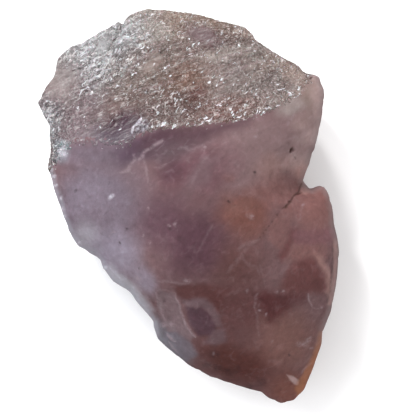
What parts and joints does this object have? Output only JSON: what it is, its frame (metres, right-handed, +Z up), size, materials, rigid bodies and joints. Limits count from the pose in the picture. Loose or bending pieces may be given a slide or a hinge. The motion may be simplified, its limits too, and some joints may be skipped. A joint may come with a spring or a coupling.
{
  "type": "auralite crystal chunk",
  "caption": "Broken chunk of violet auralite quartz with a rough etched end, a smooth domed face and a smaller crystal grown against its side.",
  "frame": {"origin": "centre of the chunk's footprint box, on the surface it lies on", "axes": "+Z up from the flat foot to the domed face; +Y along the length towards the rough etched end; +X towards the side with the smaller crystal"},
  "size_m": [0.047, 0.062, 0.0258],
  "materials": {
    "quartz": "violet translucent quartz, smooth on the face and etched and sparkling at one end"
  },
  "bodies": {
    "root": {"auralite": "quartz"}
  },
  "joints": []
}
